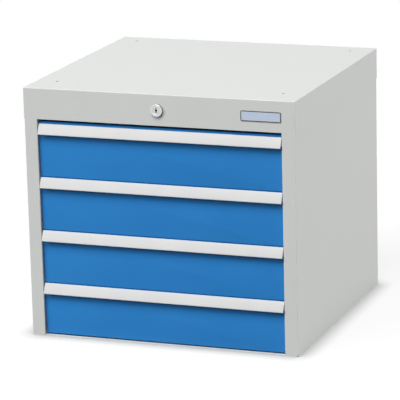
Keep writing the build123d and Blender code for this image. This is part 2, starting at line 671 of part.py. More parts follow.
save(top_cover(), "top_cover")
save(side_panel(-1), "left_side_panel")
save(side_panel(1), "right_side_panel")
save(back_panel(), "back_panel")
save(back_rivets(), "back_rivets")
save(bottom_panel(), "bottom_panel")
save(upright(-1, FRONT_UPRIGHT), "left_front_upright")
save(upright(-1, REAR_UPRIGHT), "left_rear_upright")
save(upright(1, FRONT_UPRIGHT), "right_front_upright")
save(upright(1, REAR_UPRIGHT), "right_rear_upright")
save(rail_nuts(), "rail_nuts")
save(nameplate(), "nameplate")
save(lock_housing(), "lock_housing")
save(lock_nut(), "lock_nut")
save(lock_plug(), "lock_plug")
save(lock_shaft(), "lock_shaft")
save(shaft_bracket(), "shaft_bracket")
save(locking_bar(), "locking_bar")
save(catch_plates(), "catch_plates")
save(bar_guides(), "bar_guides")
for number in DRAWERS:
    save(drawer_tray(number), f"drawer_tray_{number}")
    save(drawer_front(number), f"drawer_front_{number}")
    save(grip_strip(number), f"grip_strip_{number}")
    save(drawer_nuts(number), f"drawer_nuts_{number}")
    save(lock_hook(number), f"lock_hook_{number}")
    save(group(fixed_rail(side, number) for side in SIDES), f"fixed_rails_{number}")
    save(group(middle_rail(side, number) for side in SIDES), f"middle_rails_{number}")
    save(group(drawer_rail(side, number) for side in SIDES), f"drawer_rails_{number}")
    save(group(outer_cage(side, number) for side in SIDES), f"outer_cages_{number}")
    save(group(inner_cage(side, number) for side in SIDES), f"inner_cages_{number}")
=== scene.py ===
import bmesh
import bpy
import numpy as np
from mathutils import Matrix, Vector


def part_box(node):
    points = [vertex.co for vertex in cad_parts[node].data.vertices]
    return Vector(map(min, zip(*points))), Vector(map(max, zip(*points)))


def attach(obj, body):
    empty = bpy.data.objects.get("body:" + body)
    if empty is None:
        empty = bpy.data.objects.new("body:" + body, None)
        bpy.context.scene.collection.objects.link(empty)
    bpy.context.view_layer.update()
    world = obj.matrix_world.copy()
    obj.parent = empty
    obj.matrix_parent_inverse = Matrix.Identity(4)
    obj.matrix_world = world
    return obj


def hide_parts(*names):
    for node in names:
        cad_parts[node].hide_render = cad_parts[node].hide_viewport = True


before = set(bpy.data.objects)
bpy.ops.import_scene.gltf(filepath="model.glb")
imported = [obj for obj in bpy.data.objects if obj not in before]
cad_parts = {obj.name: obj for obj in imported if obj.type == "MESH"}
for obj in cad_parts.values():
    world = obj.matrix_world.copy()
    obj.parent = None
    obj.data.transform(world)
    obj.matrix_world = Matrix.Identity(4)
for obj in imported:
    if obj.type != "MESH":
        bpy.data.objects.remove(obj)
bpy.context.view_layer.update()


# Camera
# A long lens about five metres away, a little above the unit and to its right, so that the header, the
# drawer fronts, the top and the right side all show.
def photo_camera():
    """Columns of the camera's matrix: its right, its up and its back. The right and the up are turned by
    the roll about the back."""
    turn, tilt, roll = np.radians((20.576, 14.206, -1.429))
    back = np.array((np.sin(turn) * np.cos(tilt), -np.cos(turn) * np.cos(tilt), np.sin(tilt)))
    level = np.array((np.cos(turn), np.sin(turn), 0.0))
    upright = np.cross(back, level)
    right = np.cos(roll) * level + np.sin(roll) * upright
    up = np.cos(roll) * upright - np.sin(roll) * level
    matrix = np.eye(4)
    matrix[:3, :3] = np.column_stack((right, up, back))
    matrix[:3, 3] = camera_place
    return Matrix(matrix.tolist())


camera_place = (1.671, -4.489, 1.4176)
lens = bpy.data.cameras.new("long_lens")
lens.sensor_width = 36.0
lens.lens = 245.14
lens.clip_end = 100.0
camera = bpy.data.objects.new("photo_camera", lens)
camera.matrix_world = photo_camera()
bpy.context.scene.collection.objects.link(camera)
bpy.context.scene.camera = camera
bpy.context.scene.view_settings.view_transform = "Standard"


# Folded case: cover, side panels, back and base
# Cold-rolled sheet steel of 1 mm, folded on a press brake, spot welded and sprayed with light grey
# polyester powder. The cover lies over the panels, and its front skirt is the header.
def linear(code):
    """sRGB hex code to linear: ((c + 0.055) / 1.055) to the power 2.4, and c / 12.92 where c is small."""
    c = np.array([int(code[i:i + 2], 16) for i in (1, 3, 5)]) / 255
    return (*np.where(c > 0.04045, ((c + 0.055) / 1.055) ** 2.4, c / 12.92), 1.0)


def add(tree, kind, inputs=None, **settings):
    """Adds a node. An input, by name or number, is linked to another node's output or set to a value."""
    node = tree.nodes.new(kind)
    for name, value in settings.items():
        setattr(node, name, value)
    for name, value in (inputs or {}).items():
        if isinstance(value, bpy.types.NodeSocket):
            tree.links.new(value, node.inputs[name])
        else:
            node.inputs[name].default_value = value
    return node


def start(name, sockets):
    """A new material's tree, its shader with the sockets that are the same all over, and the place on the
    object."""
    material = bpy.data.materials.new(name)
    material.use_nodes = True
    tree = material.node_tree
    shader = tree.nodes["Principled BSDF"]
    for socket, value in sockets.items():
        shader.inputs[socket].default_value = value
    return material, tree, shader, add(tree, "ShaderNodeTexCoord").outputs["Object"]


def powder_coat(name, low, high, gloss):
    """Baked polyester powder, a satin skin over pits like orange peel. The pits are 1.5 mm apart, and the
    film's thickness and shade drift over about 70 mm, as the spray gun passed. Its IOR is 1.5."""
    drift_mm, pit_mm = 70, 1.5
    material, tree, shader, place = start(name, {"IOR": 1.5, "Specular IOR Level": gloss})
    cloud = add(tree, "ShaderNodeTexNoise",
                {"Vector": place, "Scale": 1000 / drift_mm, "Detail": 5.0}).outputs["Fac"]
    drift = add(tree, "ShaderNodeMapRange",
                {"Value": cloud, "From Min": 0.3, "From Max": 0.7}).outputs["Result"]
    shade = add(tree, "ShaderNodeMix",
                {"Factor": drift, 6: linear(low), 7: linear(high)}, data_type="RGBA")
    rough = add(tree, "ShaderNodeMapRange", {"Value": drift, "To Min": 0.42, "To Max": 0.52})
    peel = add(tree, "ShaderNodeTexNoise",
               {"Vector": place, "Scale": 1000 / pit_mm, "Detail": 2.0}).outputs["Fac"]
    relief = add(tree, "ShaderNodeBump", {"Height": peel, "Strength": 0.3, "Distance": 0.0001})
    tree.links.new(shade.outputs[2], shader.inputs["Base Color"])
    tree.links.new(rough.outputs["Result"], shader.inputs["Roughness"])
    tree.links.new(relief.outputs["Normal"], shader.inputs["Normal"])
    return material


grey_coat = powder_coat("light_grey_powder_coat", "#CCCECC", "#CFD1CF", gloss=0.5)
for node in ("top_cover", "left_side_panel", "right_side_panel", "back_panel", "bottom_panel"):
    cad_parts[node].data.materials[0] = grey_coat


# Uprights inside the case
# Top-hat sections of hot-dip galvanised steel, welded to the side panels. The zinc froze in flat
# crystals, the spangle, each of which shines at its own angle.
def galvanised(name):
    """Zinc crystals about 9 mm across, each with its own grey and its own gloss."""
    crystal_mm = 9
    material, tree, shader, place = start(name, {"Metallic": 1.0})
    cells = add(tree, "ShaderNodeTexVoronoi", {"Vector": place, "Scale": 1000 / crystal_mm})
    tone = add(tree, "ShaderNodeSeparateColor", {"Color": cells.outputs["Color"]}).outputs["Red"]
    shade = add(tree, "ShaderNodeMix",
                {"Factor": tone, 6: linear("#A7ABAE"), 7: linear("#C6C9CB")}, data_type="RGBA")
    dull = add(tree, "ShaderNodeMapRange", {"Value": tone, "To Min": 0.32, "To Max": 0.52})
    tree.links.new(shade.outputs[2], shader.inputs["Base Color"])
    tree.links.new(dull.outputs["Result"], shader.inputs["Roughness"])
    return material


spangled_zinc = galvanised("hot_dip_galvanised_steel")
for node in ("left_front_upright", "left_rear_upright", "right_front_upright", "right_rear_upright"):
    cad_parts[node].data.materials[0] = spangled_zinc


# Rivets of the back panel
# Blind rivets of aluminium, domed outside the case. Each head keeps the mouth of the pin that was pulled
# through it and snapped off.
def place_of(node):
    """A CAD node's lowest and highest corners, in millimetres."""
    return [np.array(corner) * 1000 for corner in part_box(node)]


def skin(points, hollow=False):
    """Shell over rows of points, each row closed on itself. A hollow shell's last row joins its first,
    and any other is closed by a face across each end. Quad (i, j) joins points j and j + 1 of rows i and
    i + 1."""
    rows, around = points.shape[:2]
    i, j = np.meshgrid(np.arange(rows if hollow else rows - 1), np.arange(around), indexing="ij")
    below, beside = (i + 1) % rows * around, (j + 1) % around
    quads = np.stack((i * around + j, i * around + beside, below + beside, below + j), -1).reshape(-1, 4)
    ends = [] if hollow else [np.arange(around), np.arange(around) + (rows - 1) * around]
    return points.reshape(-1, 3), quads, ends


def turned(radius, run, centre, axis=1, around=32, hollow=False):
    """Profile turned about a line along X, Y or Z through the centre: across the line by the radius times
    the cosine and the sine of the angle, and along it by the run. Both may differ with the angle."""
    angle = np.arange(around) * 2 * np.pi / around
    given = map(np.asarray, (radius, run))
    radius, run = (values if values.ndim == 2 else values[:, None] for values in given)
    across, up, along = np.broadcast_arrays(radius * np.cos(angle), radius * np.sin(angle), run)
    order = {0: (along, across, up), 1: (across, along, up), 2: (across, up, along)}[axis]
    return skin(np.stack(order, -1) + centre, hollow)


def copies(shell, places):
    """The same shell moved to several places, as one shell."""
    points, quads, ends = shell
    steps = np.arange(len(places)) * len(points)
    moved = (points[None] + np.asarray(places)[:, None]).reshape(-1, 3)
    moved_ends = [end + step for step in steps for end in ends]
    return moved, (quads[None] + steps[:, None, None]).reshape(-1, 4), moved_ends


def piece(name, shells, material, body, node, sharp=40.0):
    """Shells in millimetres as one object at the origin. Its faces are turned outwards, and its shading
    breaks where faces meet at more than the sharp angle."""
    starts = np.cumsum([0] + [len(points) for points, _, _ in shells])
    faces = []
    for first, (_, quads, ends) in zip(starts, shells):
        faces += (quads + first).tolist() + [(end + first).tolist() for end in ends]
    mesh = bpy.data.meshes.new(name)
    mesh.from_pydata((np.vstack([points for points, _, _ in shells]) / 1000).tolist(), [], faces)
    shape = bmesh.new()
    shape.from_mesh(mesh)
    bmesh.ops.recalc_face_normals(shape, faces=shape.faces)
    shape.to_mesh(mesh)
    shape.free()
    mesh.shade_smooth()
    mesh.set_sharp_from_angle(angle=np.radians(sharp))
    mesh.materials.append(material)
    made = bpy.data.objects.new(name, mesh)
    bpy.context.scene.collection.objects.link(made)
    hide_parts(node)
    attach(made, body)


def bare_metal(name, low, high, rough, grain_mm, stretch=(1.0, 1.0, 1.0)):
    """Bare or plated metal, whose shade and gloss vary from grain to grain. The real grain is too fine to
    show, so it is drawn 1 mm or more across, and a stretch below 1 draws it out along the piece."""
    material, tree, shader, place = start(name, {"Metallic": 1.0})
    drawn = add(tree, "ShaderNodeMapping", {"Vector": place, "Scale": stretch}).outputs["Vector"]
    cloud = add(tree, "ShaderNodeTexNoise",
                {"Vector": drawn, "Scale": 1000 / grain_mm, "Detail": 6.0}).outputs["Fac"]
    grain = add(tree, "ShaderNodeMapRange",
                {"Value": cloud, "From Min": 0.3, "From Max": 0.7}).outputs["Result"]
    shade = add(tree, "ShaderNodeMix",
                {"Factor": grain, 6: linear(low), 7: linear(high)}, data_type="RGBA")
    dull = add(tree, "ShaderNodeMapRange",
               {"Value": grain, "To Min": rough - 0.06, "To Max": rough + 0.06})
    relief = add(tree, "ShaderNodeBump", {"Height": grain, "Strength": 0.15, "Distance": 0.00005})
    tree.links.new(shade.outputs[2], shader.inputs["Base Color"])
    tree.links.new(dull.outputs["Result"], shader.inputs["Roughness"])
    tree.links.new(relief.outputs["Normal"], shader.inputs["Normal"])
    return material


rivet_low, rivet_high = place_of("back_rivets")
rivet_radius = 3.6
rivet_dome = 0.9
tail = [(0.9, -3.0), (0.9, -3.6), (2.4, -3.4), (2.4, -2.4), (2.0, -2.2), (2.0, 0.0)]
swell = np.radians((0, 15, 30, 45, 60))
dome = list(zip(rivet_radius * np.cos(swell), rivet_dome * np.sin(swell)))
rivet_profile = np.array(tail + dome + [(1.0, rivet_dome), (0.9, 0.3)])
rivet = turned(rivet_profile[:, 0], rivet_profile[:, 1], (0.0, 0.0, 0.0), around=24)
rivet_rows = np.linspace(rivet_low[2] + rivet_radius, rivet_high[2] - rivet_radius, 4)
rivets = [(side * (rivet_high[0] - rivet_radius), rivet_high[1] - rivet_dome, z)
          for side in (-1, 1) for z in rivet_rows]
aluminium = bare_metal("bare_aluminium_rivet", "#B4B5B6", "#CBCCCD", rough=0.34, grain_mm=3.0)
piece("back_blind_rivets", [copies(rivet, rivets)], aluminium, "cabinet", "back_rivets")


# Ball-bearing rails
# Three members on each side of every drawer, roll-formed from cold-rolled strip of 1.2 mm and bright zinc
# plated. Their edges curl round the balls, and the rolls leave fine lines along the strip.
def rounded(corners, radius, steps=6):
    """Closed line with soft corners. Each is a parabola from one radius before the corner to one radius
    after it: (1 - t) squared of the first, 2 t (1 - t) of the corner and t squared of the last."""
    corners = np.asarray(corners)
    back, ahead = np.roll(corners, 1, axis=0) - corners, np.roll(corners, -1, axis=0) - corners
    reach = np.broadcast_to(np.asarray(radius), len(corners))[:, None]
    first = (corners + back / np.linalg.norm(back, axis=1, keepdims=True) * reach)[:, None]
    last = (corners + ahead / np.linalg.norm(ahead, axis=1, keepdims=True) * reach)[:, None]
    t = np.linspace(0, 1, steps)[None, :, None]
    return ((1 - t) ** 2 * first + 2 * t * (1 - t) * corners[:, None] + t ** 2 * last).reshape(-1, 2)


def arc(centre, radius, begin, end, steps=8):
    """Arc between two angles in degrees: the centre plus the radius times the cosine and the sine."""
    angle = np.radians(np.linspace(begin, end, steps))
    return np.stack((centre[0] + radius * np.cos(angle), centre[1] + radius * np.sin(angle)), -1)


def member(upper, sheet, side, z, y0, y1):
    """Rail member from y0 to y1. The upper half of its middle line, given by distance from the upright
    and from the rail's middle, is mirrored below, and half the sheet is laid on each side of it, along
    its normal."""
    line = np.vstack((upper, upper[::-1] * (1, -1)))
    along = np.gradient(line, axis=0)
    normal = np.stack((-along[:, 1], along[:, 0]), -1) / np.linalg.norm(along, axis=1, keepdims=True)
    outline = np.vstack((line + normal * sheet / 2, (line - normal * sheet / 2)[::-1]))
    x, height = side * (upright_face - outline[:, 0]), z + outline[:, 1]
    return skin(np.stack([np.stack((x, np.full(len(x), y), height), -1) for y in (y0, y1)]))


def thread(x0, x1, y, z):
    """M4 stud along X. Its radius falls from 2 mm by the groove's depth, and the groove goes round once
    in a pitch of 0.7 mm."""
    crest, groove, pitch, around = 2.0, 0.4, 0.7, 12
    run = np.linspace(x0, x1, 37)[:, None]
    turns = (run - x0) / pitch - np.arange(around) / around
    radius = crest - groove * np.abs(2 * (turns % 1) - 1)
    return turned(radius, run, (0.0, y, z), axis=0, around=around)


def hex_nut(flats, thickness, bore, centre, axis, way=1.0):
    """Hexagon nut. The hexagon's radius is half the flats over the cosine of the angle from a flat's
    middle, and a cone of 30 degrees takes its corners off at both faces."""
    around, mouth = 48, 0.4
    angle = np.arange(around) * 2 * np.pi / around
    hexagon = flats / 2 / np.cos(angle % (np.pi / 3) - np.pi / 6)
    inside = np.minimum(hexagon, flats / 2 * 1.02)
    drop = (hexagon - inside) * np.tan(np.radians(30))
    even = np.ones(around)
    wide = even * (bore + mouth)
    radius = np.array([even * bore, wide, inside, hexagon, hexagon, inside, wide, even * bore])
    run = np.array([even * mouth, 0 * even, 0 * even, drop, thickness - drop, thickness * even,
                    thickness * even, even * (thickness - mouth)])
    return turned(radius, way * run, centre, axis=axis, around=around, hollow=True)


m4_nut = {"flats": 7.0, "thickness": 3.2, "bore": 2.05}
upright_face = 225.0
upright_sheet = 1.5
rail_sheet = 1.2
ball_radius = 1.6
ball_play = 0.3
curl = 1.6
track = ball_radius + ball_play + rail_sheet / 2
outer_ball = (6.4, 19.4)
inner_ball = (7.8, 14.4)
fixed_line = np.vstack((arc(outer_ball, track, 50, 90), arc((2.2, 20.3), curl, 90, 180)))
middle_line = np.vstack((arc(inner_ball, track, 40, 90), arc((4.6, 15.3), curl, 90, 180)))
drawer_line = np.vstack((arc(inner_ball, track, 218, 270), arc((10.5, 10.3), curl, 90, 0)))
bright_zinc = bare_metal("bright_zinc_plated_strip", "#A7ACB1", "#C9CDD0", rough=0.30, grain_mm=2.0,
                         stretch=(1.0, 0.02, 1.0))
zinc_fixing = bare_metal("zinc_plated_fixing", "#A9ACAC", "#C8CAC6", rough=0.36, grain_mm=1.2)
header_face = place_of("top_cover")[0][1]
stud_depths = (51.0, 395.0)
stud_root = 0.1
upright_stud = 5.3
tray_stud = 4.8
tray_side = 212.3
for number in range(1, 5):
    low, high = place_of(f"fixed_rails_{number}")
    z = (low[2] + high[2]) / 2
    fixed, middle, inner, nuts = [], [], [], []
    for side in (-1, 1):
        fixed.append(member(fixed_line, rail_sheet, side, z, low[1], high[1]))
        middle.append(member(middle_line, rail_sheet, side, z, low[1], high[1]))
        inner.append(member(drawer_line, rail_sheet, side, z, low[1], high[1]))
        for depth in stud_depths:
            y = header_face + depth
            root, tip = upright_face - stud_root, upright_face + upright_stud
            fixed.append(thread(side * root, side * tip, y, z))
            inner.append(thread(side * tray_side, side * (tray_side - tray_stud), y, z))
            seat = (side * (upright_face + upright_sheet), y, z)
            nuts.append(hex_nut(**m4_nut, centre=seat, axis=0, way=side))
    piece(f"fixed_members_{number}", fixed, bright_zinc, "cabinet", f"fixed_rails_{number}")
    piece(f"middle_members_{number}", middle, bright_zinc, f"middle_member_{number}",
          f"middle_rails_{number}")
    piece(f"drawer_members_{number}", inner, bright_zinc, f"drawer_{number}",
          f"drawer_rails_{number}")
    piece(f"upright_nuts_{number}", nuts, zinc_fixing, "cabinet", "rail_nuts")


# Ball cages
# Stamped strips that hold the balls apart, with eight balls of 3.2 mm along each edge. The strip is dull
# cold-rolled steel, and the balls are hardened, polished and lightly oiled.
cage_strip = bare_metal("cold_rolled_cage_strip", "#85888A", "#A3A6A8", rough=0.42, grain_mm=1.5,
                        stretch=(1.0, 0.05, 1.0))
ball_steel = bare_metal("polished_bearing_steel", "#C2C4C6", "#CED0D1", rough=0.16, grain_mm=4.0)
cage_sheet = 0.6
cage_bend = 1.2
ball_pitch = 20.0
polar = np.radians((20, 48, 76, 104, 132, 160))
ball = turned(ball_radius * np.sin(polar), ball_radius * np.cos(polar), (0.0, 0.0, 0.0), axis=2,
              around=10)
for number in range(1, 5):
    for name, web, reach, centre in (("outer", 1.8, 7.8, outer_ball), ("inner", 4.2, 9.2, inner_ball)):
        node = f"{name}_cages_{number}"
        low, high = place_of(node)
        z = (low[2] + high[2]) / 2
        corner = arc((web + cage_bend, centre[1] - cage_bend), cage_bend, 90, 180)
        edge = np.vstack(([(reach, centre[1])], corner))
        strips = [member(edge, cage_sheet, side, z, low[1], high[1]) for side in (-1, 1)]
        steps = np.arange(low[1] + ball_pitch / 2, high[1], ball_pitch)
        rows = [(side * (upright_face - centre[0]), step, z + edge_side * centre[1])
                for side in (-1, 1) for step in steps for edge_side in (-1, 1)]
        body = f"{name}_balls_{number}"
        piece(f"{name}_cage_strips_{number}", strips, cage_strip, body, node)
        piece(f"{name}_ball_rows_{number}", [copies(ball, rows)], ball_steel, body, node)


# Drawer trays
# Folded from one sheet of 1 mm steel, spot welded at the corners and powder coated grey. The side rims
# are turned in by 5 mm, which stiffens them and takes the sharp edge away.
def outline(low, high, inset, corner, steps=5):
    """Rectangle from low to high, drawn in by an inset, with round corners: each is its centre plus the
    radius times the cosine and the sine over a quarter turn."""
    inset = np.broadcast_to(np.asarray(inset), 2)
    low, high = low + inset, high - inset
    radius = max(corner - inset.min(), 0.25)
    angle = np.radians(np.array([0, 90, 180, 270])[:, None] + np.linspace(0, 90, steps))
    right, above = np.array([True, False, False, True]), np.array([True, True, False, False])
    across = np.where(right, high[0] - radius, low[0] + radius)[:, None]
    up = np.where(above, high[1] - radius, low[1] + radius)[:, None]
    return np.stack((across + radius * np.cos(angle), up + radius * np.sin(angle)), -1).reshape(-1, 2)


def stacked(outlines, heights, axis, hollow=False):
    """Outlines laid one on another along Y (1) or Z (2), each at its own height."""
    flat = np.stack(outlines)
    run = np.broadcast_to(np.asarray(heights)[:, None], flat.shape[:2])
    order = (flat[..., 0], run, flat[..., 1]) if axis == 1 else (flat[..., 0], flat[..., 1], run)
    return skin(np.stack(order, -1), hollow)


bend = np.linspace(0, np.pi / 2, 5)
tray_sheet = 1.0
tray_fold = 1.6
tray_rim = 5.0
tray_corner = 2.0
inner_fold = tray_fold - tray_sheet
for number in range(1, 5):
    low, high = place_of(f"drawer_tray_{number}")
    foot = [(tray_fold * (1 - np.sin(t)), low[2] + tray_fold * (1 - np.cos(t))) for t in bend]
    brim = [((tray_fold * (1 - np.cos(t)), tray_sheet / 2 * (1 - np.cos(t))),
             high[2] - tray_fold + tray_fold * np.sin(t)) for t in bend]
    lip = [((tray_rim, tray_sheet), high[2]), ((tray_rim, tray_sheet), high[2] - tray_sheet),
           (tray_sheet, high[2] - tray_sheet)]
    floor_bend = [(tray_sheet + inner_fold * (1 - np.cos(t)),
                   low[2] + tray_sheet + inner_fold * (1 - np.sin(t))) for t in bend]
    insets, heights = zip(*(foot + brim + lip + floor_bend))
    shell = stacked([outline(low[:2], high[:2], inset, tray_corner) for inset in insets], heights, 2)
    piece(f"tray_{number}", [shell], grey_coat, f"drawer_{number}", f"drawer_tray_{number}")


# Drawer fronts
# Pans of 1 mm steel folded back 15 mm all round, with four studs welded behind the face, powder coated a
# clear blue. Their faces lie 5 mm behind the stiles.
blue_coat = powder_coat("blue_powder_coat", "#2B7DC3", "#2E80C6", gloss=0.15)
front_sheet = 1.0
front_fold = 1.4
front_corner = 1.6
front_burr = 0.2
inner_fold = front_fold - front_sheet
for number in range(1, 5):
    low, high = place_of(f"drawer_front_{number}")
    face = [(front_fold * (1 - np.sin(t)), low[1] + front_fold * (1 - np.cos(t))) for t in bend]
    edge = [(0.0, high[1] - front_burr), (front_burr, high[1]),
            (front_sheet - front_burr, high[1]), (front_sheet, high[1] - front_burr)]
    inside = [(front_sheet + inner_fold * (1 - np.cos(t)),
               low[1] + front_sheet + inner_fold * (1 - np.sin(t))) for t in bend]
    insets, depths = zip(*(face + edge + inside))
    outlines = [outline(low[[0, 2]], high[[0, 2]], inset, front_corner) for inset in insets]
    shell = stacked(outlines, depths, 1)
    piece(f"front_pan_{number}", [shell], blue_coat, f"drawer_{number}",
          f"drawer_front_{number}")


# Studs and nuts of a drawer
# M4 studs and hexagon nuts, zinc plated. Four hold the front to the tray, and two on each side hold the
# rails' drawer members to it.
tray_wall = place_of("drawer_tray_1")[0][1] + tray_sheet
front_stud_across = 150.0
front_stud_rise = 20.0
front_stud = 5.2
for number in range(1, 5):
    low, high = place_of(f"fixed_rails_{number}")
    z = (low[2] + high[2]) / 2
    nuts, studs = [], []
    for side in (-1, 1):
        for row in (-front_stud_rise, front_stud_rise):
            seat = np.array((side * front_stud_across, tray_wall, z + row))
            nuts.append(hex_nut(**m4_nut, centre=seat, axis=1))
            points, quads, ends = thread(0.0, front_stud, 0.0, 0.0)
            studs.append((points[:, [1, 0, 2]] + (seat - (0.0, tray_sheet, 0.0)), quads, ends))
        for depth in stud_depths:
            seat = (side * (tray_side - tray_sheet), header_face + depth, z)
            nuts.append(hex_nut(**m4_nut, centre=seat, axis=0, way=-side))
    piece(f"drawer_hex_nuts_{number}", nuts, zinc_fixing, f"drawer_{number}",
          f"drawer_nuts_{number}")
    piece(f"front_studs_{number}", studs, zinc_fixing, f"drawer_{number}",
          f"drawer_front_{number}")


# Grip strips
# Aluminium extrusions cut to the fronts' width: a leg bonded to the front, and a face that slopes out to
# a lip for the fingers. Their coat is paler than the case's and lies over the faint lines that the die
# leaves.
def extruded_coat(name, low, high):
    """Powder coat on an extrusion: a satin skin that drifts over 45 mm, over die lines along the strip.
    The lines are drawn 0.9 mm apart, coarser than they are, so that they show."""
    drift_mm, line_mm = 45, 0.9
    material, tree, shader, place = start(name, {"IOR": 1.5})
    cloud = add(tree, "ShaderNodeTexNoise",
                {"Vector": place, "Scale": 1000 / drift_mm, "Detail": 4.0}).outputs["Fac"]
    drift = add(tree, "ShaderNodeMapRange",
                {"Value": cloud, "From Min": 0.3, "From Max": 0.7}).outputs["Result"]
    shade = add(tree, "ShaderNodeMix",
                {"Factor": drift, 6: linear(low), 7: linear(high)}, data_type="RGBA")
    rough = add(tree, "ShaderNodeMapRange", {"Value": drift, "To Min": 0.36, "To Max": 0.48})
    drawn = add(tree, "ShaderNodeMapping",
                {"Vector": place, "Scale": (0.004, 1.0, 1.0)}).outputs["Vector"]
    lines = add(tree, "ShaderNodeTexNoise",
                {"Vector": drawn, "Scale": 1000 / line_mm, "Detail": 3.0}).outputs["Fac"]
    relief = add(tree, "ShaderNodeBump", {"Height": lines, "Strength": 0.2, "Distance": 0.00006})
    tree.links.new(shade.outputs[2], shader.inputs["Base Color"])
    tree.links.new(rough.outputs["Result"], shader.inputs["Roughness"])
    tree.links.new(relief.outputs["Normal"], shader.inputs["Normal"])
    return material


pale_coat = extruded_coat("pale_coated_aluminium", "#C7C7C7", "#CBCBCA")
lip_edge = 1.2
wall = 1.5
leg = 1.2
leg_height = 16.0
sawn_edge = 0.3
sawn_share = 0.012
for number in range(1, 5):
    low, high = place_of(f"grip_strip_{number}")
    face, top, foot = high[1] - leg, high[2], low[2]
    slope = (face - low[1]) / (top - foot - lip_edge)
    inner = low[1] + wall * (1 + slope ** 2) ** 0.5
    joint = foot + lip_edge + (face - inner) / slope
    corners = [(high[1], top), (face, top), (low[1], foot + lip_edge), (low[1], foot), (inner, foot),
               (inner, foot + lip_edge), (face, joint), (face, top - leg_height),
               (high[1], top - leg_height)]
    section = rounded(corners, (0.3, 0.5, 0.5, 0.35, 0.35, 0.3, 0.3, 0.3, 0.3), steps=4)
    stations = ((low[0], sawn_share), (low[0] + sawn_edge, 0.0), (high[0] - sawn_edge, 0.0),
                (high[0], sawn_share))
    rows = [np.insert(section + (section.mean(0) - section) * drawn_in, 0, x, axis=1)
            for x, drawn_in in stations]
    piece(f"grip_{number}", [skin(np.stack(rows))], pale_coat, f"drawer_{number}",
          f"grip_strip_{number}")


# Cylinder lock
# A zinc die casting, satin chrome plated: a rim in front of the header, a barrel behind it, and a plug
# that turns in both. The rim's side is coloured dark grey, painted shade and a painted dark reflection,
# and the keyway is lined near black, painted shade in the key's opening. A hexagon nut holds it from
# inside.
def keyway(around):
    """Radius of the key's opening at each angle, the larger of a slot's and of a square's on its corner.
    The slot's is the smaller of half its width over the cosine and half its height over the sine, and
    the square's is its half diagonal over the sum of the two."""
    angle = np.arange(around) * 2 * np.pi / around
    across, up = np.abs(np.cos(angle)) + 1e-9, np.abs(np.sin(angle)) + 1e-9
    half_width, half_height, half_diagonal = 0.95, 4.5, 2.5
    return np.maximum(np.minimum(half_width / across, half_height / up), half_diagonal / (across + up))


lock_low, lock_high = place_of("lock_housing")
lock_z = (lock_low[2] + lock_high[2]) / 2
lock_centre = (0.0, lock_low[1], lock_z)
satin_chrome = bare_metal("satin_chrome_plate", "#CFD1D1", "#DCDEDE", rough=0.38, grain_mm=1.5)
rim = 11.0
rim_core = 10.7
rim_foot = 4.0
barrel = 9.0
barrel_end = 26.0
bore = 6.05
rim_profile = np.array([(bore, 0.3), (6.35, 0.0), (7.5, 0.0), (7.8, 0.12), (8.1, 0.0), (10.4, 0.0),
                        (10.8, 0.2), (rim, 0.6), (rim, 1.0), (rim_core, 1.0), (rim_core, rim_foot),
                        (barrel, rim_foot), (barrel, barrel_end), (bore, barrel_end)])
casting = turned(rim_profile[:, 0], rim_profile[:, 1], lock_centre, around=64, hollow=True)
piece("lock_rim_and_barrel", [casting], satin_chrome, "cabinet", "lock_housing")
# The rim's side is coloured dark grey: painted shade and a painted dark reflection on its flank.
painted_rim_shade = bare_metal("painted_shade_rim_flank", "#5E6061", "#77797A", rough=0.5, grain_mm=1.5)
rim_side = turned([rim, rim, rim_core, rim_core], [1.05, rim_foot, rim_foot, 1.05], lock_centre,
                  around=64, hollow=True)
piece("lock_rim_side", [rim_side], painted_rim_shade, "cabinet", "lock_housing")

plug_steps = 128
plug_body = 6.0
plug_tail = 3.0
hole = keyway(plug_steps)
even = np.ones(plug_steps)
plug_radius = np.array([hole * 0.97, hole, hole + 0.12, even * (plug_body - 0.3), even * plug_body,
                        even * plug_body, even * plug_tail, even * plug_tail])
plug_run = np.array([14.0, 0.55, 0.4, 0.4, 0.7, 28.0, 28.0, 38.0])[:, None]
plug = turned(plug_radius, plug_run, lock_centre, around=plug_steps)
piece("lock_plug_with_keyway", [plug], satin_chrome, "lock", "lock_plug", sharp=30.0)
# The keyway's lining is near black: painted shade in the key's opening.
painted_keyway_shade = bare_metal("painted_shade_keyway", "#232220", "#33312E", rough=0.5, grain_mm=1.0)
lining_radius = np.array([hole * 0.9, hole * 0.9, hole * 0.965, hole * 0.965])
lining_run = np.array([13.0, 0.6, 0.6, 13.8])[:, None]
lining = turned(lining_radius, lining_run, lock_centre, around=plug_steps)
piece("lock_keyway_lining", [lining], painted_keyway_shade, "lock", "lock_plug", sharp=30.0)

nut_centre = (0.0, place_of("lock_nut")[0][1], lock_z)
lock_nut = hex_nut(flats=24.0, thickness=4.0, bore=9.05, centre=nut_centre, axis=1)
piece("lock_hex_nut", [lock_nut], zinc_fixing, "cabinet", "lock_nut")


# Locking gear behind the drawers
# Shaft with its crank, locking bar with its catches, guides, shaft bracket and the hooks on the trays:
# turned and laser-cut mild steel, dull zinc plated, which greys unevenly.
dull_zinc = bare_metal("dull_zinc_plated_steel", "#8F9294", "#ACAFAF", rough=0.46, grain_mm=6.0)
for node in ("lock_shaft", "locking_bar", "catch_plates", "bar_guides", "shaft_bracket"):
    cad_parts[node].data.materials[0] = dull_zinc
for number in range(1, 5):
    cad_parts[f"lock_hook_{number}"].data.materials[0] = dull_zinc


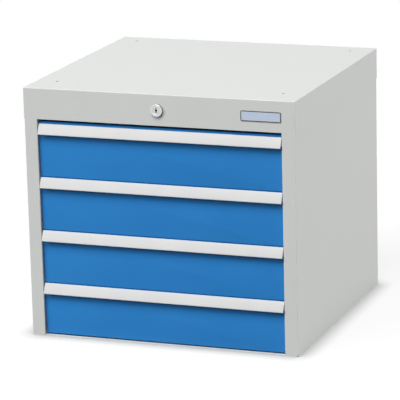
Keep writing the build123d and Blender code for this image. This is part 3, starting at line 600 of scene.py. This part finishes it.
# Nameplate
# A plate of anodised aluminium bonded to the header: a raised dark border round a pale blue field, which
# is left bare.
def anodised(name, low, high, rough, grain_mm):
    """Dyed anodic film on aluminium: part metallic, with a speckle from the etch under it, which is drawn
    coarser than it is, so that it shows."""
    material, tree, shader, place = start(name, {"Metallic": 0.35, "Roughness": rough})
    cloud = add(tree, "ShaderNodeTexNoise",
                {"Vector": place, "Scale": 1000 / grain_mm, "Detail": 4.0}).outputs["Fac"]
    speckle = add(tree, "ShaderNodeMapRange",
                  {"Value": cloud, "From Min": 0.35, "From Max": 0.65}).outputs["Result"]
    shade = add(tree, "ShaderNodeMix",
                {"Factor": speckle, 6: linear(low), 7: linear(high)}, data_type="RGBA")
    relief = add(tree, "ShaderNodeBump", {"Height": cloud, "Strength": 0.15, "Distance": 0.00005})
    tree.links.new(shade.outputs[2], shader.inputs["Base Color"])
    tree.links.new(relief.outputs["Normal"], shader.inputs["Normal"])
    return material


low, high = place_of("nameplate")
plate_border = 1.6
plate_corner = 2.4
plate_edge = 0.3
border_profile = [(0.0, high[1]), (0.0, low[1] + plate_edge), (plate_edge, low[1]),
                  (plate_border - plate_edge, low[1]), (plate_border, low[1] + 0.2),
                  (plate_border, high[1])]
insets, depths = zip(*border_profile)
outlines = [outline(low[[0, 2]], high[[0, 2]], inset, plate_corner) for inset in insets]
border = stacked(outlines, depths, 1, hollow=True)
field = stacked([outlines[-1]] * 2, (low[1] + plate_edge, high[1]), 1)
dark_anodised = anodised("dark_anodised_border", "#3A3A38", "#716D65", rough=0.42, grain_mm=1.8)
pale_anodised = anodised("pale_blue_anodised_field", "#B5C3D8", "#C1CDDF", rough=0.42, grain_mm=1.2)
piece("nameplate_border", [border], dark_anodised, "cabinet", "nameplate")
piece("nameplate_field", [field], pale_anodised, "cabinet", "nameplate")


# Floor and light
# A white studio floor that runs out of sight, a large soft box above the front, lower ones to the left,
# to the right and behind, and white paper all round. The lower ones are kept out of reflections, so that
# the top doesn't glare. Near the unit the floor's glow is darkened by ambient occlusion: a painted
# contact shadow.
floor_mesh = bpy.data.meshes.new("floor")
floor_half = 9.0
corners = [(x * floor_half, y * floor_half, 0) for x, y in ((-1, -1), (1, -1), (1, 1), (-1, 1))]
floor_mesh.from_pydata(corners, [], [(0, 1, 2, 3)])
floor = bpy.data.objects.new("floor", floor_mesh)
bpy.context.scene.collection.objects.link(floor)
paper = bpy.data.materials.new("white_paper_floor")
paper.use_nodes = True
tree = paper.node_tree
tree.nodes.clear()
path = add(tree, "ShaderNodeLightPath")
first = add(tree, "ShaderNodeMath", {0: path.outputs["Is Camera Ray"], 1: path.outputs["Is Glossy Ray"]},
            operation="MAXIMUM")
seen = add(tree, "ShaderNodeMath",
           {0: first.outputs[0], 1: path.outputs["Is Transmission Ray"]}, operation="MAXIMUM")
spill = add(tree, "ShaderNodeBsdfDiffuse", {"Color": linear("#6C6C6C")})
# Ambient occlusion darkens the floor's glow beside the unit: a painted contact shadow.
painted_contact_shadow = add(tree, "ShaderNodeAmbientOcclusion", {"Distance": 0.036}, samples=16).outputs["Color"]
white = add(tree, "ShaderNodeEmission", {"Color": painted_contact_shadow, "Strength": 1.0})
bright = add(tree, "ShaderNodeBsdfDiffuse", {"Color": linear("#F6F6F6")})
place = add(tree, "ShaderNodeTexCoord").outputs["Object"]
reach = add(tree, "ShaderNodeVectorMath", {0: place}, operation="LENGTH")
share = add(tree, "ShaderNodeMapRange",
            {"Value": reach.outputs["Value"], "From Min": 0.8, "From Max": 2.5,
             "To Min": 0.13, "To Max": 0.0}).outputs["Result"]
shown = add(tree, "ShaderNodeMixShader", {"Fac": share, 1: white.outputs[0], 2: bright.outputs[0]})
pick = add(tree, "ShaderNodeMixShader",
           {"Fac": seen.outputs[0], 1: spill.outputs[0], 2: shown.outputs[0]})
add(tree, "ShaderNodeOutputMaterial", {"Surface": pick.outputs[0]})
floor_mesh.materials.append(paper)

world = bpy.data.worlds.new("white_studio")
world.use_nodes = True
bpy.context.scene.world = world
tree = world.node_tree
sky = tree.nodes["Background"]
sky.inputs["Color"].default_value = (1.0, 1.0, 1.0, 1.0)
path = add(tree, "ShaderNodeLightPath")
first = add(tree, "ShaderNodeMath", {0: path.outputs["Is Camera Ray"], 1: path.outputs["Is Glossy Ray"]},
            operation="MAXIMUM")
seen = add(tree, "ShaderNodeMath",
           {0: first.outputs[0], 1: path.outputs["Is Transmission Ray"]}, operation="MAXIMUM")
level = add(tree, "ShaderNodeMapRange", {"Value": seen.outputs[0], "To Min": 0.07, "To Max": 1.0})
tree.links.new(level.outputs["Result"], sky.inputs["Strength"])


def soft_box(name, turn, height, distance, size, level, mirrored=True):
    """Square area lamp that faces the unit's middle from a turn and a height in degrees. At its distance
    a square lamp of P watts gives a facing surface P over pi squared and the distance squared, so the
    level sets P."""
    turn, height = np.radians((turn, height))
    lamp = bpy.data.lights.new(name, "AREA")
    lamp.size = size
    lamp.energy = level * np.pi ** 2 * distance ** 2
    back = np.array((np.sin(turn) * np.cos(height), -np.cos(turn) * np.cos(height), np.sin(height)))
    right = np.array((np.cos(turn), np.sin(turn), 0.0))
    matrix = np.eye(4)
    matrix[:3, :3] = np.column_stack((right, np.cross(back, right), back))
    matrix[:3, 3] = back * distance + (0.0, 0.0, aim_height)
    holder = bpy.data.objects.new(name, lamp)
    holder.matrix_world = Matrix(matrix.tolist())
    holder.visible_glossy = mirrored
    bpy.context.scene.collection.objects.link(holder)


aim_height = 0.25
soft_box("key_soft_box", turn=-6.0, height=60.0, distance=20.0, size=8.3, level=0.85)
soft_box("low_soft_box", turn=-46.0, height=31.0, distance=14.0, size=7.0, level=0.63, mirrored=False)
soft_box("side_soft_box", turn=98.0, height=5.5, distance=12.0, size=2.4, level=0.645, mirrored=False)
soft_box("rear_soft_box", turn=-145.0, height=5.5, distance=12.0, size=2.4, level=0.40, mirrored=False)
